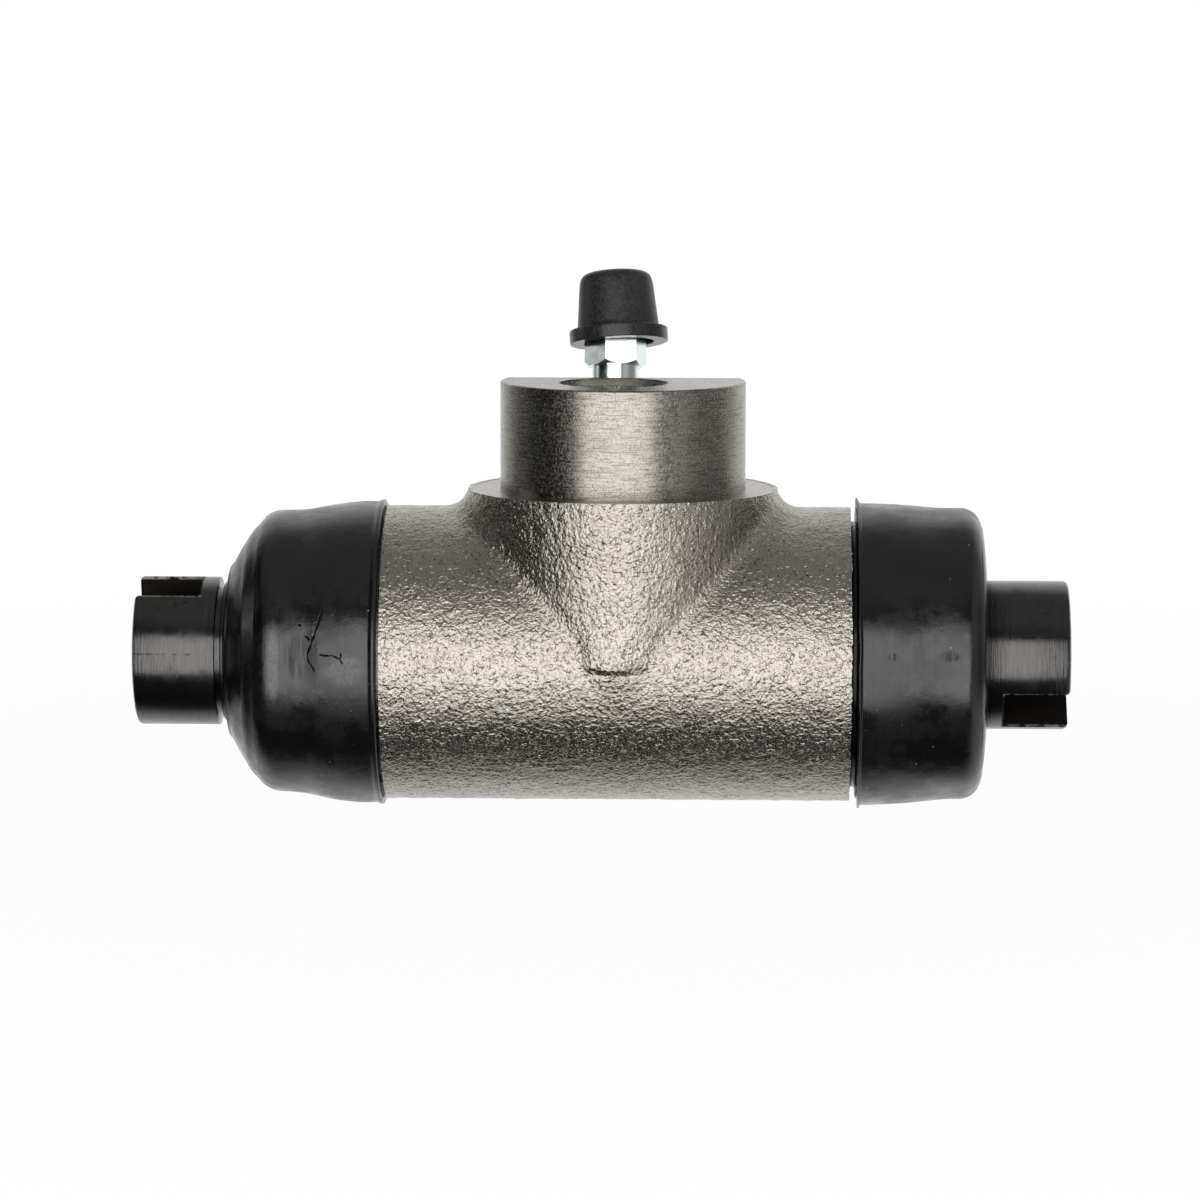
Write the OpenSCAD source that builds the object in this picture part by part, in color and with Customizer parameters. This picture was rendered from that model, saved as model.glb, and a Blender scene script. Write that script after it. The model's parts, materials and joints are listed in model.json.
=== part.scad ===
// Drum brake wheel cylinder with two opposed pistons, in millimetres.
// X runs along the barrel, Z is the axis of the mounting spigot, Z = 0 is the seat on the backplate.
// Front of the object is -Y.

/* [Show] */
// Which piece to show

/* [Barrel] */
// Outside diameter of the cast barrel
barrel_d = 37.4; // [34:0.1:46]
// Length of the cast barrel between its two end shoulders
barrel_len = 59.15; // [56:0.05:80]
// Offset of the middle of the barrel from the spigot axis
barrel_shift = -0.52; // [-2:0.01:2]
// Height of the seat face above the barrel axis
axis_drop = 21.3; // [20.5:0.1:26]
// Diameter of the cylinder bore (15/16 inch)
bore_d = 23.8; // [19:0.1:26]
// Diameter of the turned ends that carry the boots
end_d = 33.5; // [31:0.1:36]
// Length of each turned end beyond the shoulder
end_len = 8.1; // [6:0.1:12]
// Depth of the boot groove in a turned end
end_groove = 0.8; // [0.4:0.1:1.5]
// Chamfer at the mouth of the bore
mouth_chamfer = 0.8; // [0.2:0.1:1.5]

/* [Stem and boss] */
// Radius of the cast stem at the seat face
stem_r = 19.6; // [19.2:0.05:24]
// Draft of the stem in degrees
stem_draft = 1.67; // [0:0.01:2]
// Radius of the casting fillet between stem and barrel
fillet_r = 3.0; // [1.5:0.1:4]
// Depth below the barrel axis where the stem ends in a small ledge
stem_below = 0.6; // [0.2:0.1:3]
// Diameter of the turned mounting spigot
boss_d = 31.3; // [28:0.1:36]
// Height of the mounting spigot above the seat face
boss_h = 13.7; // [12:0.1:20]
// Edge break on top of the spigot
boss_chamfer = 0.15; // [0:0.05:1]
// Distance behind the spigot axis where the bleed face starts
bleed_edge = 4.7; // [3:0.1:6]

/* [Brake pipe port] */
// Sideways position of the port
port_x = -1.1; // [-3:0.1:3]
// Fore and aft position of the port
port_y = -3.1; // [-5:0.1:-2]
// Tapping diameter of the port, for M10 x 1
port_d = 9.0; // [8:0.1:10]
// Depth of the tapped port
port_depth = 11.5; // [9:0.1:13]
// Diameter of the spot face around the port
dish_d = 14; // [12:0.1:15]
// Depth of the spot face
dish_h = 0.9; // [0.4:0.1:1.5]
// Diameter of the fluid drillings
drill_d = 3; // [2:0.1:4]

/* [Bleed screw] */
// Backward lean of the bleed screw in degrees
bleed_lean = 13; // [8:0.5:16]
// Sideways position of the bleed screw
bleed_x = -1.2; // [-2:0.1:2]
// Distance of the bleed screw behind the spigot axis, on the bleed face
bleed_y = 8.0; // [7.6:0.1:8.6]
// Thread diameter of the bleed screw, M6
bleed_d = 6; // [5:0.1:8]
// Width of its hexagon across flats
hex_af = 7; // [6:0.1:9]
// Height of the hexagon
hex_h = 4.6; // [3:0.1:7]
// Height of the plain neck above the bleed face
neck_h = 1.9; // [1.5:0.1:4]
// Length of thread below the bleed face
thread_len = 9; // [6:0.1:12]
// Turn of the hexagon in degrees
hex_turn = 12.5; // [0:0.5:60]
// Diameter of the hose nipple at its bead
nipple_d = 5.8; // [5:0.1:7]
// Length of the hose nipple above the hexagon
nipple_h = 6.4; // [5:0.1:9]

/* [Dust cap] */
// Diameter of the brim
brim_d = 12.7; // [11:0.1:13]
// Thickness of the brim
brim_h = 1.75; // [1:0.05:2.5]
// Diameter of the dome above the brim
dome_d = 10.5; // [9.6:0.1:11.5]
// Total height of the cap
cap_h = 9.3; // [8:0.1:12]
// Height of the brim above the foot of the hexagon
cap_rise = 3.1; // [2.5:0.1:4]
// Sideways tilt of the cap on the nipple in degrees
cap_tilt = -3.2; // [-4:0.1:4]
// Sideways offset of the cap on the nipple
cap_shift = 0.45; // [-0.5:0.05:0.5]

/* [Pistons] */
// Diameter of the piston nose
nose_d = 19; // [15:0.1:20]
// Length of the nose outside the boot groove
nose_len = 10.4; // [9:0.1:14]
// Distance from the nose end to the guide head
shank_len = 27; // [24:0.1:30]
// Length of the guide head that runs in the bore
head_len = 12; // [8:0.1:14]
// Width of the shoe slot
slot_w = 7; // [5:0.1:8]
// Depth of the shoe slot
slot_depth = 8.3; // [6:0.1:9]
// Width of the boot groove
boot_groove_w = 2.1; // [1.8:0.1:2.5]
// Diameter at the bottom of the boot groove
boot_groove_d = 16.4; // [13:0.1:17]
// Edge break on the nose
nose_chamfer = 0.55; // [0.2:0.05:1]
// Distance of the left nose end from the spigot axis
left_reach = 62.1; // [58:0.1:64]
// Distance of the right nose end from the spigot axis
right_reach = 56.9; // [56:0.1:64]
// Turn of the left piston in degrees
left_turn = 13.5; // [-90:0.5:90]
// Turn of the right piston in degrees
right_turn = -44.2; // [-90:0.1:90]

/* [Seals and spring] */
// Length of a cup seal
cup_len = 8; // [6:0.1:9]
// Thickness of the back of a cup seal
cup_back = 3; // [2:0.1:4]
// Thickness of the lip of a cup seal at its foot
cup_lip = 2.4; // [1.5:0.1:3]
// Sheet thickness of a cup expander
sheet = 0.6; // [0.4:0.05:1]
// Diameter of the spring wire
wire_d = 1.1; // [0.7:0.05:1.6]
// Mean diameter of the spring
spring_d = 12; // [9:0.1:13]
// Number of turns of the spring
spring_turns = 8; // [5:1:12]

/* [Boots] */
// Diameter of a boot at its rim
rim_d = 38.9; // [37:0.1:42]
// Diameter of the left boot at its waist
waist_d = 36.3; // [34.8:0.1:38]
// Diameter of the right boot before its shoulder
right_waist_d = 37.1; // [36:0.1:39]
// Wall thickness of a boot
boot_wall = 1.8; // [1.2:0.1:2.2]
// Gap between the left boot rim and the barrel shoulder
left_rim_gap = 0.3; // [0.2:0.05:1]
// Gap between the right boot rim and the barrel shoulder
right_rim_gap = 0.8; // [0.2:0.05:1]
// Radius of the left boot shoulder
left_shoulder = 3.5; // [2.5:0.1:4]
// Slope of the left boot cone against the axis in degrees
left_cone = 59; // [52:1:62]
// Radius of the right boot shoulder
right_shoulder = 2.9; // [2.4:0.1:3.4]
// Slope of the right boot end face against the axis in degrees
right_cone = 84; // [74:0.5:86]
// Radius of the end ring of a boot
ring_r = 11.2; // [10.6:0.1:12]
// Distance of the left end ring behind the shoulder of the nose
left_ring_back = 1.5; // [1.2:0.1:2]
// Height of the left boot lip in the piston groove
lip_h = 0.7; // [0.4:0.1:1]

/* [Fits] */
// Radial running clearance of the pistons and cups in the bore
run_gap = 0.05; // [0.02:0.01:0.1]
// Radial clearance of the bleed screw in its thread
thread_gap = 0.06; // [0.02:0.01:0.1]
// Clearance of a boot on the turned end and in the piston groove
boot_gap = 0.06; // [0.02:0.01:0.1]
// Clearance of the cap around the hexagon and nipple
cap_gap = 0.42; // [0.3:0.01:0.6]
// Play between an expander and its cup
seat_gap = 0.1; // [0.05:0.01:0.2]

/* [Hidden] */
$fn = 64;
barrel_r = barrel_d / 2;
half = barrel_len / 2;
bore_r = bore_d / 2;
end_r = end_d / 2;
end_x = half + end_len;
boss_r = boss_d / 2;
bead_x = half + 3;
bead_w = 2;
nose_r = nose_d / 2;
groove_r = boot_groove_d / 2;
head_r = bore_r - run_gap;
piston_len = shank_len + head_len;
left_cup_x = left_reach - piston_len;
right_cup_x = right_reach - piston_len;
sleeve_r = end_r + boot_gap;
bead_r = end_r - end_groove + boot_gap;
bleed_r = bleed_d / 2;
bleed_hole_r = bleed_r + thread_gap;
bleed_z = boss_h - (bleed_y - bleed_edge) * tan(bleed_lean);
seat_h = 1.6;

// Points of an arc in the plane, angles in degrees
function arc(cx, cy, r, a0, a1, n) =
  [for (i = [0:n]) [cx + r * cos(a0 + (a1 - a0) * i / n), cy + r * sin(a0 + (a1 - a0) * i / n)]];

// Radius of the drafted stem at a height above the barrel axis
function stem_at(h) = stem_r - (axis_drop - h) * tan(stem_draft);

// Turns a profile of [distance along X, radius] into a body around the barrel axis
module around_x(points) {
  translate([0, 0, -axis_drop])
    rotate([0, 90, 0])
      rotate([0, 0, 180])
        rotate_extrude($fn = 96)
          polygon([for (p = points) [p[1], p[0]]]);
}

// Moves to the bleed face, Z along the bleed screw
module at_bleed() {
  translate([bleed_x, bleed_y, bleed_z])
    rotate([-bleed_lean, 0, 0])
      children();
}

// Cast stem with its fillet, the path of a ball that rolls in the corner of stem and barrel
module casting_stem() {
  // facets around the stem and along the fillet
  n = 96;
  k = 6;
  // how far the foot of the fillet stands proud of the barrel, and how deep the stem is rooted in it
  step = 0.04;
  root = 0.8;
  core_r = 4;
  reach = barrel_r + fillet_r;
  function rise(y) = sqrt(max(0.01, reach * reach - y * y));
  function ball(a, h, left) =
    let (r = stem_at(h) + fillet_r)
    left == 0 ? [r * cos(a), r * sin(a), h] : ball(a, rise(r * sin(a)), left - 1);
  function mix(p, q, t) = (p * (1 - t) + q * t) / norm(p * (1 - t) + q * t);
  function wall(a, h, in) = [(stem_at(h) - in) * cos(a), (stem_at(h) - in) * sin(a), h];
  // where stem and barrel run almost level no corner is left to fill, and the stem goes down to its ledge
  function plain(a) =
    concat([for (j = [0:k]) wall(a, 4 - (4 + stem_below) * j / k, 0)], [wall(a, -stem_below, 2)]);
  function filled(a) =
    let (c = ball(a, 12, 6),
      to_stem = [-cos(a), -sin(a), 0],
      to_barrel = [0, -c[1] / reach, -c[2] / reach])
    concat([for (j = [0:k]) c + mix(to_stem, to_barrel, j / k) * (fillet_r - step * j / k)],
      [c + to_barrel * (fillet_r + root)]);
  function column(a) =
    concat([wall(a, axis_drop + 2, 0)],
      abs((stem_at(2) + fillet_r) * sin(a)) < reach - 0.4 ? filled(a) : plain(a),
      [[core_r * cos(a), core_r * sin(a), -stem_below]]);
  m = k + 4;
  points = concat([for (i = [0:n - 1]) each column(360 * (i + 0.5) / n)],
    [[0, 0, axis_drop + 2], [0, 0, -stem_below]]);
  sides = [for (i = [0:n - 1]) for (j = [0:m - 2])
    let (u = i * m + j, v = ((i + 1) % n) * m + j) each [[u, v, v + 1], [u, v + 1, u + 1]]];
  lids = [for (i = [0:n - 1])
    let (u = i * m, v = ((i + 1) % n) * m) each [[n * m, v, u], [n * m + 1, u + m - 1, v + m - 1]]];
  translate([0, 0, -axis_drop])
    polyhedron(points, concat(sides, lids));
}

// The casting: barrel with turned ends, stem, spigot, bore, port and bleed seat
module cylinder_body() {
  color([0.46, 0.44, 0.4])
  difference() {
    union() {
      difference() {
        union() {
          translate([barrel_shift, 0, 0])
          around_x([[-end_x, 0], [-end_x, end_r - 0.4], [-end_x + 0.4, end_r], [-bead_x - bead_w, end_r],
            [-bead_x - bead_w, end_r - end_groove], [-bead_x, end_r - end_groove], [-bead_x, end_r],
            [-half, end_r], [-half, barrel_r - 0.5], [-half + 0.5, barrel_r], [half - 0.5, barrel_r],
            [half, barrel_r - 0.5], [half, end_r], [bead_x, end_r], [bead_x, end_r - end_groove],
            [bead_x + bead_w, end_r - end_groove], [bead_x + bead_w, end_r], [end_x - 0.4, end_r],
            [end_x, end_r - 0.4], [end_x, 0]]);
          casting_stem();
        }
        cylinder(r = stem_r + 12, h = 12);
      }
      rotate_extrude($fn = 128)
        polygon([[0, -2], [boss_r, -2], [boss_r, boss_h - boss_chamfer], [boss_r - boss_chamfer, boss_h],
          [0, boss_h]]);
    }
    translate([barrel_shift, 0, 0])
    around_x([[-end_x - 1, 0], [-end_x - 1, bore_r + mouth_chamfer + 1], [-end_x + mouth_chamfer, bore_r],
      [end_x - mouth_chamfer, bore_r], [end_x + 1, bore_r + mouth_chamfer + 1], [end_x + 1, 0]]);
    // bleed face, square to the bleed screw
    translate([0, bleed_edge, boss_h])
      rotate([-bleed_lean, 0, 0])
        translate([-boss_d, 0, 0])
          cube([2 * boss_d, 2 * boss_d, boss_d]);
    // brake pipe port with its spot face, cone and drilling
    translate([port_x, port_y, boss_h]) {
      translate([0, 0, -dish_h])
        cylinder(d1 = dish_d - 1.2, d2 = dish_d + 0.02, h = dish_h + 0.01);
      translate([0, 0, -port_depth])
        cylinder(d = port_d, h = port_depth + 1);
      translate([0, 0, -port_depth - 1.8])
        cylinder(d1 = drill_d, d2 = port_d, h = 1.81);
      translate([0, 0, -boss_h - axis_drop + 4])
        cylinder(d = drill_d, h = boss_h + axis_drop - 4 - port_depth);
    }
    // bleed drilling with its cone seat
    at_bleed() {
      translate([0, 0, -thread_len])
        cylinder(r = bleed_hole_r, h = thread_len + 1);
      translate([0, 0, -thread_len - seat_h])
        cylinder(r1 = drill_d / 2, r2 = bleed_hole_r, h = seat_h + 0.01);
      translate([0, 0, -thread_len - 16])
        cylinder(d = drill_d, h = 16);
    }
  }
}

// Outline of a piston from its nose end inwards
module piston_form() {
  difference() {
    around_x([[0, 0], [0, nose_r - nose_chamfer], [nose_chamfer, nose_r], [nose_len, nose_r],
      [nose_len, groove_r], [nose_len + boot_groove_w, groove_r], [nose_len + boot_groove_w, nose_r],
      [shank_len, nose_r], [shank_len, head_r - 0.4], [shank_len + 0.4, head_r],
      [piston_len - 0.4, head_r], [piston_len, head_r - 0.4], [piston_len, 0]]);
    translate([-1, -slot_w / 2, -axis_drop - nose_d])
      cube([slot_depth + 1, slot_w, 2 * nose_d]);
  }
}

// Turns about the barrel axis
module turned(angle) {
  translate([0, 0, -axis_drop])
    rotate([angle, 0, 0])
      translate([0, 0, axis_drop])
        children();
}

// Left piston with the slot for the brake shoe
module left_piston() {
  color([0.16, 0.16, 0.17])
  translate([-left_reach, 0, 0])
    turned(left_turn)
      piston_form();
}

// Right piston with the slot for the brake shoe
module right_piston() {
  color([0.16, 0.16, 0.17])
  translate([right_reach, 0, 0])
    turned(right_turn)
      mirror([1, 0, 0])
        piston_form();
}

// Rubber cup seal, back at X = 0 and lip towards +X
module cup_form() {
  lip_r = head_r - cup_lip;
  around_x([[0.02, 0], [0.02, head_r - 0.5], [0.5, head_r - 0.3], [cup_len - 0.5, head_r],
    [cup_len, head_r - 0.25], [cup_len, head_r - 0.9], [cup_back + 1, lip_r], [cup_back, lip_r - 1],
    [cup_back, 0]]);
}

// Left cup seal
module left_cup() {
  color([0.09, 0.09, 0.09])
  translate([-left_cup_x, 0, 0])
    cup_form();
}

// Right cup seal
module right_cup() {
  color([0.09, 0.09, 0.09])
  translate([right_cup_x, 0, 0])
    mirror([1, 0, 0])
      cup_form();
}

// Pressed steel expander that spreads the lip of a cup and centres the spring
module expander_form() {
  x0 = cup_back + seat_gap;
  lip_r = head_r - cup_lip;
  flat_r = lip_r - 1 - seat_gap - 0.15;
  flare_x = cup_len + 0.6;
  flare_r = head_r - 1.9;
  pilot_r = spring_d / 2 - wire_d / 2 - 0.3;
  around_x([[x0, 0], [x0, flat_r], [x0 + 0.8, lip_r - seat_gap - 0.3], [flare_x, flare_r],
    [flare_x, flare_r - sheet], [x0 + 0.8 + sheet, lip_r - seat_gap - 0.3 - sheet],
    [x0 + sheet, flat_r - sheet], [x0 + sheet, pilot_r], [x0 + sheet + 2, pilot_r - 0.5],
    [x0 + sheet + 2, 0]]);
}

// Left cup expander
module left_expander() {
  color([0.6, 0.58, 0.5])
  translate([-left_cup_x, 0, 0])
    expander_form();
}

// Right cup expander
module right_expander() {
  color([0.6, 0.58, 0.5])
  translate([right_cup_x, 0, 0])
    mirror([1, 0, 0])
      expander_form();
}

// Coil spring that keeps the two cups apart
module return_spring() {
  low = -left_cup_x + cup_back + seat_gap + sheet + wire_d / 2 + 0.05;
  high = right_cup_x - cup_back - seat_gap - sheet - wire_d / 2 - 0.05;
  steps = 16;
  sides = 8;
  total = spring_turns * steps;
  pitch = (high - low - 2 * wire_d - 0.1) / (spring_turns - 2);
  function along(t) =
    t < 1 ? low + (wire_d + 0.05) * t
      : t > spring_turns - 1 ? high - (wire_d + 0.05) * (spring_turns - t)
      : low + wire_d + 0.05 + (t - 1) * pitch;
  function at(i, j) =
    let (t = i / steps, a = 360 * t, b = 360 * j / sides, r = spring_d / 2 + wire_d / 2 * cos(b))
    [along(t) + wire_d / 2 * sin(b), r * cos(a), r * sin(a)];
  points = [for (i = [0:total]) for (j = [0:sides - 1]) at(i, j)];
  walls = [for (i = [0:total - 1]) for (j = [0:sides - 1]) each
    [[i * sides + j, (i + 1) * sides + (j + 1) % sides, (i + 1) * sides + j],
     [i * sides + j, i * sides + (j + 1) % sides, (i + 1) * sides + (j + 1) % sides]]];
  start = [for (j = [1:sides - 2]) [0, j + 1, j]];
  finish = [for (j = [1:sides - 2]) [total * sides, total * sides + j, total * sides + j + 1]];
  color([0.62, 0.62, 0.6])
  translate([0, 0, -axis_drop])
    polyhedron(points, concat(walls, start, finish));
}

// Inside of the part of a boot that sits on the turned end, from its outer end to the rim
function sleeve(shift, rim_gap) =
  let (end = end_x + shift, bead = bead_x + shift)
  [[end + 0.1, end_r - 0.6], [end + 0.1, sleeve_r], [bead + bead_w - 0.15, sleeve_r],
   [bead + bead_w - 0.45, bead_r], [bead + 0.45, bead_r], [bead + 0.15, sleeve_r],
   [half + shift + rim_gap, sleeve_r]];

// Left boot, pulled out into a cone by its piston, X counted outwards
module left_boot() {
  rim_x = half - barrel_shift + left_rim_gap;
  lip_x = left_reach - nose_len - boot_groove_w + boot_gap;
  ring_x = left_reach - nose_len - left_ring_back;
  waist_r = waist_d / 2;
  in_r = waist_r - boot_wall;
  drop = (waist_r - left_shoulder * (1 - cos(left_cone)) - ring_r) / tan(left_cone);
  turn_x = ring_x - 0.4 - drop - left_shoulder * sin(left_cone);
  in_shoulder = left_shoulder - boot_wall;
  color([0.07, 0.07, 0.07])
  mirror([1, 0, 0])
    around_x(concat(
      sleeve(-barrel_shift, left_rim_gap),
      [[rim_x, rim_d / 2 - 0.1], [rim_x + 0.2, rim_d / 2 + 0.05], [rim_x + 0.9, rim_d / 2],
       [rim_x + 3.5, rim_d / 2 - 0.15], [rim_x + 6, rim_d / 2 - 0.4], [turn_x - 3, waist_r + 0.05]],
      [for (p = arc(turn_x, waist_r - left_shoulder, left_shoulder, 90, 90 - left_cone, 8)) p],
      [[ring_x - 0.3, ring_r + 0.15], [ring_x, ring_r - 0.15], [ring_x + 0.12, nose_r],
       [ring_x + 0.3, groove_r + lip_h], [ring_x + 0.8, groove_r + lip_h],
       [ring_x + 0.8, groove_r + boot_gap], [lip_x, groove_r + boot_gap], [lip_x, ring_r - 0.6]],
      [for (p = arc(turn_x, waist_r - left_shoulder, in_shoulder, 90 - left_cone, 90, 6)) p],
      [[turn_x - 1.5, in_r], [end_x - barrel_shift + 0.5, in_r]]));
}

// Right boot, cup shaped because its piston sits further in
module right_boot() {
  rim_x = half + barrel_shift + right_rim_gap;
  lip_x = right_reach - nose_len - boot_groove_w + boot_gap;
  ring_x = right_reach - nose_len - 0.1;
  waist_r = right_waist_d / 2;
  in_r = waist_r - boot_wall - 0.4;
  drop = (waist_r - right_shoulder * (1 - cos(right_cone)) - ring_r) / tan(right_cone);
  turn_x = ring_x - drop - right_shoulder * sin(right_cone);
  in_shoulder = right_shoulder - boot_wall;
  color([0.07, 0.07, 0.07])
    around_x(concat(
      sleeve(barrel_shift, right_rim_gap),
      [[rim_x, rim_d / 2 - 0.1], [rim_x + 0.2, rim_d / 2], [rim_x + 0.8, rim_d / 2 - 0.15],
       [rim_x + 5, rim_d / 2 - 0.35], [turn_x - 2.5, waist_r + 0.03]],
      [for (p = arc(turn_x, waist_r - right_shoulder, right_shoulder, 90, 90 - right_cone, 8)) p],
      [[ring_x, ring_r], [ring_x, nose_r + 0.15], [right_reach - nose_len - boot_gap, nose_r + 0.05],
       [right_reach - nose_len - boot_gap, groove_r + boot_gap], [lip_x, groove_r + boot_gap],
       [lip_x, ring_r - 0.2]],
      [for (p = arc(turn_x, waist_r - right_shoulder, in_shoulder, 90 - right_cone, 90, 6)) p],
      [[turn_x - 0.6, in_r], [end_x + barrel_shift + 0.5, in_r]]));
}

// Bleed screw with cone tip, thread, hexagon, hose nipple and drillings
module bleed_screw() {
  hex_z = neck_h + hex_h;
  color([0.78, 0.78, 0.76])
  at_bleed()
    rotate([0, 0, hex_turn])
    difference() {
      union() {
        translate([0, 0, -thread_len - seat_h + 0.5])
          cylinder(r1 = 1.4, r2 = bleed_r - 0.3, h = seat_h - 0.3);
        translate([0, 0, -thread_len + 0.2])
          cylinder(r = bleed_r - 0.3, h = 2);
        translate([0, 0, -thread_len + 1.6])
          cylinder(r = bleed_r, h = thread_len - 1.6 + neck_h + 0.2);
        translate([0, 0, neck_h])
          intersection() {
            cylinder(d = hex_af / cos(30), h = hex_h, $fn = 6);
            cylinder(r1 = hex_af / 2 + 0.1, r2 = hex_af / 2 + 4, h = 3.9 * hex_h);
          }
        translate([0, 0, hex_z - 0.1])
          cylinder(d = nipple_d - 1.2, h = nipple_h - 2.4);
        translate([0, 0, hex_z + nipple_h - 3])
          cylinder(d1 = nipple_d - 1.2, d2 = nipple_d, h = 0.8);
        translate([0, 0, hex_z + nipple_h - 2.21])
          cylinder(d1 = nipple_d, d2 = nipple_d - 2.2, h = 2.2);
      }
      translate([0, 0, -thread_len + 1])
        cylinder(d = 1.8, h = thread_len + hex_z + nipple_h, $fn = 32);
      translate([-bleed_r - 1, 0, -thread_len + 1])
        rotate([0, 90, 0])
          cylinder(d = 1.6, h = 2 * bleed_r + 2, $fn = 32);
    }
}

// Rubber dust cap over the nipple
module bleed_cap() {
  mouth_r = hex_af / cos(30) / 2 + cap_gap;
  hole_r = nipple_d / 2 + cap_gap;
  inside = hex_h - cap_rise + nipple_h + cap_gap;
  dome_r = dome_d / 2;
  top_r = dome_r - 0.55;
  corner = 1.4;
  color([0.1, 0.1, 0.1])
  at_bleed()
    translate([cap_shift, 0, neck_h + cap_rise])
      rotate([0, cap_tilt, 0])
        rotate_extrude($fn = 96)
          polygon(concat(
            [[mouth_r, 0], [brim_d / 2 - 0.2, 0], [brim_d / 2, 0.25], [brim_d / 2, brim_h - 0.3],
             [brim_d / 2 - 0.3, brim_h], [dome_r + 0.25, brim_h], [dome_r, brim_h + 0.25]],
            arc(top_r - corner, cap_h - corner, corner, 3, 84, 7),
            [[0.5, cap_h], [0.4, cap_h + 0.25], [0, cap_h + 0.25], [0, inside], [hole_r, inside],
             [hole_r, hex_h - cap_rise + cap_gap], [mouth_r, hex_h - cap_rise + cap_gap]]));
}

cylinder_body();
left_piston();
right_piston();
left_cup();
right_cup();
left_expander();
right_expander();
return_spring();
left_boot();
right_boot();
bleed_screw();
bleed_cap();
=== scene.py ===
# %% [markdown]
# # A drum brake wheel cylinder, dressed around its CAD model
#
# A wheel cylinder is a small iron casting with a bore through it. Two steel pistons slide in the bore and
# push the brake shoes apart, a rubber boot keeps the dust out at each end, and a bleed screw with a rubber
# cap sits on top. The CAD model gives the true sizes and the joints. This lesson adds what the CAD model
# leaves out: the sand-cast skin, the turning marks, soft rubber with its cracks, and the light.

import json
import math

import bpy
from mathutils import Matrix, Vector, noise

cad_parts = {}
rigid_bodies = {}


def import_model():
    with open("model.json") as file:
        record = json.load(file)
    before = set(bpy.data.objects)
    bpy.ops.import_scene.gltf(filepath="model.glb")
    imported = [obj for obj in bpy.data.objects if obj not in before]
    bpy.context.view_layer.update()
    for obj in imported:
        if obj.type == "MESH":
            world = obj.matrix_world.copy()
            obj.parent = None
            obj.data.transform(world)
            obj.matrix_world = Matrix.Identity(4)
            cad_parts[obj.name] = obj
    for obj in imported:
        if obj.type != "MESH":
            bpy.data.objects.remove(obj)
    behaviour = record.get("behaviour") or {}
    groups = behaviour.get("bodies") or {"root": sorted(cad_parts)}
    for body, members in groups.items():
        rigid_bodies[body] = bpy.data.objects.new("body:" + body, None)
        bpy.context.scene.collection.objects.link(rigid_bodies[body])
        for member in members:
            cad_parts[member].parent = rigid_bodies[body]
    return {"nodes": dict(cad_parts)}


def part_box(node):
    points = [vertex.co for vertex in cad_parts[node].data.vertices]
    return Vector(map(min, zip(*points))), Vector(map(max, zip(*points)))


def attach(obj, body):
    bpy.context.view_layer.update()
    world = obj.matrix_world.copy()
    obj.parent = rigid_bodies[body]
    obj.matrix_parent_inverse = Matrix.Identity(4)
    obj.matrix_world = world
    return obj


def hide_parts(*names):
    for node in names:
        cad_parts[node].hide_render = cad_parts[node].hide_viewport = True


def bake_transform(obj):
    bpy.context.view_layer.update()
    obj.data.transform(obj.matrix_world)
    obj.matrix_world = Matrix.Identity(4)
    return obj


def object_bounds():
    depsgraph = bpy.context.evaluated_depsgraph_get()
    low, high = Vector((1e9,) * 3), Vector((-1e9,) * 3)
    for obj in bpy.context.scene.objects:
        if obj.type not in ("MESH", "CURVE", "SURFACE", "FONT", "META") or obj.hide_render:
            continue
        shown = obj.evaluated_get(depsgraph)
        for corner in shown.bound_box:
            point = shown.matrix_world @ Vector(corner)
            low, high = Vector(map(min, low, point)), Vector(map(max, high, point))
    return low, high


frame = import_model()
cad_low, cad_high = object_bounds()
nodes_of_cad = frame["nodes"]
MM = 0.001
print("CAD box", [round(v / MM, 1) for v in cad_low], [round(v / MM, 1) for v in cad_high])

# %% [markdown]
# ## Camera
#
# The part was photographed with a long lens from a little above, almost square to the barrel. The camera
# looks at a point near the middle of the part, and its place follows from a distance and two angles. A
# small roll brings the barrel to the same slope as in the photograph.

# %% Set up the camera
VIEW_TARGET = Vector((-2.9, 0.0, -14.5)) * MM
VIEW_DISTANCE = 630 * MM
VIEW_TURN = math.radians(1.6)
VIEW_RISE = math.radians(7.4)
VIEW_ROLL = math.radians(0.1)
SENSOR_WIDTH = 36
LENS = 147.4
NEAREST = 0.01
FARTHEST = 30

to_camera = Vector((
    math.sin(VIEW_TURN) * math.cos(VIEW_RISE),
    -math.cos(VIEW_TURN) * math.cos(VIEW_RISE),
    math.sin(VIEW_RISE),
))
bpy.ops.object.camera_add(location=VIEW_TARGET + to_camera * VIEW_DISTANCE)
camera = bpy.context.object
camera.name = "photo_camera"
look = (-to_camera).to_track_quat("-Z", "Y").to_matrix().to_4x4()
camera.rotation_euler = (look @ Matrix.Rotation(VIEW_ROLL, 4, "Z")).to_euler()
camera.data.sensor_width = SENSOR_WIDTH
camera.data.lens = LENS
camera.data.clip_start = NEAREST
camera.data.clip_end = FARTHEST
bpy.context.scene.camera = camera
print("camera at", [round(v, 3) for v in camera.location])

# %% [markdown]
# ## Helpers for work by hand
#
# Operators act on whatever is selected, so every step starts from an empty selection. Most pieces of a
# brake cylinder are turned parts, and the natural way to make one is the way of a lathe: draw half of the
# outline by extruding a single point along it, then spin that line round the axis.

# %% Selection, modifiers and the lathe
MERGE = 1e-6
BARREL_Z = -21.3 * MM


def let_go():
    """Leaves edit mode and selects nothing."""
    if bpy.context.object and bpy.context.object.mode != "OBJECT":
        bpy.ops.object.mode_set(mode="OBJECT")
    bpy.ops.object.select_all(action="DESELECT")


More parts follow.
